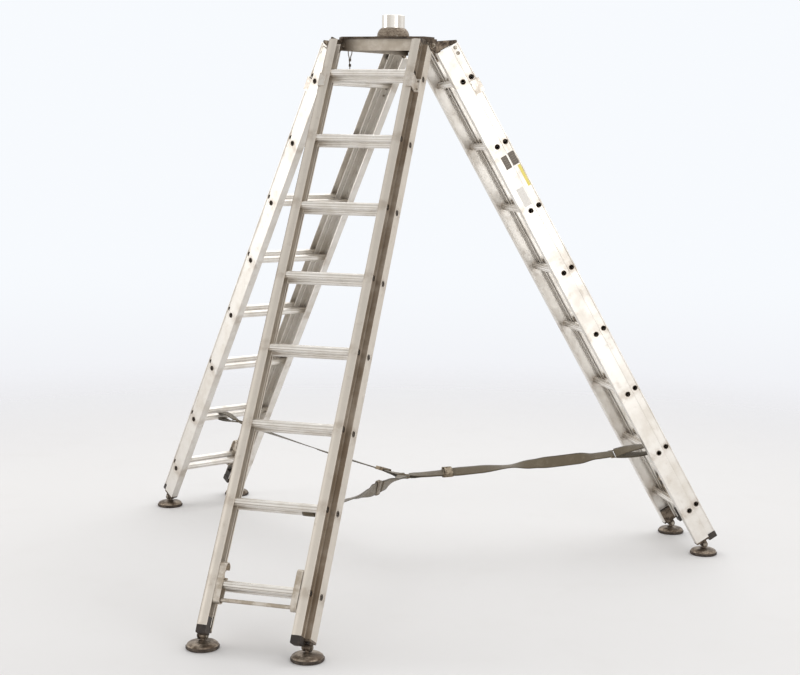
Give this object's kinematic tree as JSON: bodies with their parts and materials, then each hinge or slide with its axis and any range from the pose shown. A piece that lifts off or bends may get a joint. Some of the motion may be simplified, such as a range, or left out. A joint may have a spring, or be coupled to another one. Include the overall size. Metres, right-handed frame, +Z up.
{
  "type": "multi position ladder",
  "caption": "Free-standing tripod of extending aluminium ladders hinged to a triangular head with a spigot for a pole, braced by webbing straps.",
  "frame": {"origin": "on the floor under the centre of the head", "axes": "+Z up; the front leg stands towards -Y and its rungs run along X"},
  "size_m": [2.7472, 2.4, 2.3284],
  "materials": {
    "base_aluminium": "mill finish, lightly scuffed",
    "fly_aluminium": "mill finish, lightly scuffed",
    "rung_aluminium": "drawn tube, worn bright on top",
    "head_aluminium": "sawn plate, satin",
    "dark_plate": "dark satin coating",
    "zinc_hardware": "dull zinc plating",
    "lock_metal": "cast and stamped, dull",
    "flange_casting": "painted casting, satin",
    "spigot_steel": "polished",
    "black_plastic": "moulded, matt",
    "foot_rubber": "moulded rubber with a metal socket",
    "webbing": "flat woven webbing",
    "lanyard_cord": "braided cord"
  },
  "bodies": {
    "head": {"head_beams": "head_aluminium", "head_corners": "dark_plate", "head_bolts": "zinc_hardware", "top_plate": "dark_plate", "mount_flange": "flange_casting", "mount_spigot": "spigot_steel", "lanyard": "lanyard_cord", "lanyard_ferrules": "zinc_hardware", "strap_hardware": "zinc_hardware", "leg1_strap": "webbing", "leg2_strap": "webbing", "leg3_strap": "webbing"},
    "leg1_fly": {"leg1_fly_rail_right": "fly_aluminium", "leg1_fly_rail_left": "fly_aluminium", "leg1_fly_rungs": "rung_aluminium", "leg1_hinge_plates": "dark_plate", "leg1_end_plugs": "black_plastic", "leg1_fly_fasteners": "zinc_hardware"},
    "leg1_base": {"leg1_base_rail_right": "base_aluminium", "leg1_base_rail_left": "base_aluminium", "leg1_base_rungs": "rung_aluminium", "leg1_guide_brackets": "zinc_hardware", "leg1_foot_brackets": "dark_plate", "leg1_base_fasteners": "zinc_hardware"},
    "leg1_lock": {"leg1_lock_levers": "lock_metal", "leg1_lock_rod": "zinc_hardware"},
    "leg1_foot_right": {"leg1_foot_right": "foot_rubber"},
    "leg1_foot_left": {"leg1_foot_left": "foot_rubber"},
    "leg2_fly": {"leg2_fly_rail_right": "fly_aluminium", "leg2_fly_rail_left": "fly_aluminium", "leg2_fly_rungs": "rung_aluminium", "leg2_hinge_plates": "dark_plate", "leg2_end_plugs": "black_plastic", "leg2_fly_fasteners": "zinc_hardware"},
    "leg2_base": {"leg2_base_rail_right": "base_aluminium", "leg2_base_rail_left": "base_aluminium", "leg2_base_rungs": "rung_aluminium", "leg2_guide_brackets": "zinc_hardware", "leg2_foot_brackets": "dark_plate", "leg2_base_fasteners": "zinc_hardware"},
    "leg2_lock": {"leg2_lock_levers": "lock_metal", "leg2_lock_rod": "zinc_hardware"},
    "leg2_foot_right": {"leg2_foot_right": "foot_rubber"},
    "leg2_foot_left": {"leg2_foot_left": "foot_rubber"},
    "leg3_fly": {"leg3_fly_rail_right": "fly_aluminium", "leg3_fly_rail_left": "fly_aluminium", "leg3_fly_rungs": "rung_aluminium", "leg3_hinge_plates": "dark_plate", "leg3_end_plugs": "black_plastic", "leg3_fly_fasteners": "zinc_hardware"},
    "leg3_base": {"leg3_base_rail_right": "base_aluminium", "leg3_base_rail_left": "base_aluminium", "leg3_base_rungs": "rung_aluminium", "leg3_guide_brackets": "zinc_hardware", "leg3_foot_brackets": "dark_plate", "leg3_base_fasteners": "zinc_hardware"},
    "leg3_lock": {"leg3_lock_levers": "lock_metal", "leg3_lock_rod": "zinc_hardware"},
    "leg3_foot_right": {"leg3_foot_right": "foot_rubber"},
    "leg3_foot_left": {"leg3_foot_left": "foot_rubber"}
  },
  "joints": [
    {"name": "leg1_fold", "type": "hinge", "parent": "head", "child": "leg1_fly", "pos_m": [0, -0.13, 2.19745], "axis": [1, 0, 0], "range_deg": [0, 25], "deforming": ["leg1_strap"]},
    {"name": "leg1_extend", "type": "slide", "parent": "leg1_fly", "child": "leg1_base", "axis": [0, -0.5, -0.866], "range_m": [0, 1.2192]},
    {"name": "leg1_lock_swing", "type": "hinge", "parent": "leg1_fly", "child": "leg1_lock", "pos_m": [0, -1.36145, 0.22652], "axis": [-1, 0, 0], "range_deg": [0, 60]},
    {"name": "leg1_foot_right_swivel", "type": "hinge", "parent": "leg1_base", "child": "leg1_foot_right", "pos_m": [0.1995, -1.40158, 0.046], "axis": [1, 0, 0], "range_deg": [-25, 25]},
    {"name": "leg1_foot_left_swivel", "type": "hinge", "parent": "leg1_base", "child": "leg1_foot_left", "pos_m": [-0.1995, -1.40158, 0.046], "axis": [1, 0, 0], "range_deg": [-25, 25]},
    {"name": "leg2_fold", "type": "hinge", "parent": "head", "child": "leg2_fly", "pos_m": [0.11258, 0.065, 2.19745], "axis": [-0.5, 0.866, 0], "range_deg": [0, 25], "deforming": ["leg2_strap"]},
    {"name": "leg2_extend", "type": "slide", "parent": "leg2_fly", "child": "leg2_base", "axis": [0.433, 0.25, -0.866], "range_m": [0, 1.2192]},
    {"name": "leg2_lock_swing", "type": "hinge", "parent": "leg2_fly", "child": "leg2_lock", "pos_m": [1.17905, 0.68072, 0.22652], "axis": [0.5, -0.866, 0], "range_deg": [0, 60]},
    {"name": "leg2_foot_right_swivel", "type": "hinge", "parent": "leg2_base", "child": "leg2_foot_right", "pos_m": [1.11406, 0.87356, 0.046], "axis": [-0.5, 0.866, 0], "range_deg": [-25, 25]},
    {"name": "leg2_foot_left_swivel", "type": "hinge", "parent": "leg2_base", "child": "leg2_foot_left", "pos_m": [1.31356, 0.52802, 0.046], "axis": [-0.5, 0.866, 0], "range_deg": [-25, 25]},
    {"name": "leg3_fold", "type": "hinge", "parent": "head", "child": "leg3_fly", "pos_m": [-0.11258, 0.065, 2.19745], "axis": [-0.5, -0.866, 0], "range_deg": [0, 25], "deforming": ["leg3_strap"]},
    {"name": "leg3_extend", "type": "slide", "parent": "leg3_fly", "child": "leg3_base", "axis": [-0.433, 0.25, -0.866], "range_m": [0, 1.2192]},
    {"name": "leg3_lock_swing", "type": "hinge", "parent": "leg3_fly", "child": "leg3_lock", "pos_m": [-1.17905, 0.68072, 0.22652], "axis": [0.5, 0.866, 0], "range_deg": [0, 60]},
    {"name": "leg3_foot_right_swivel", "type": "hinge", "parent": "leg3_base", "child": "leg3_foot_right", "pos_m": [-1.31356, 0.52802, 0.046], "axis": [-0.5, -0.866, 0], "range_deg": [-25, 25]},
    {"name": "leg3_foot_left_swivel", "type": "hinge", "parent": "leg3_base", "child": "leg3_foot_left", "pos_m": [-1.11406, 0.87356, 0.046], "axis": [-0.5, -0.866, 0], "range_deg": [-25, 25]}
  ]
}
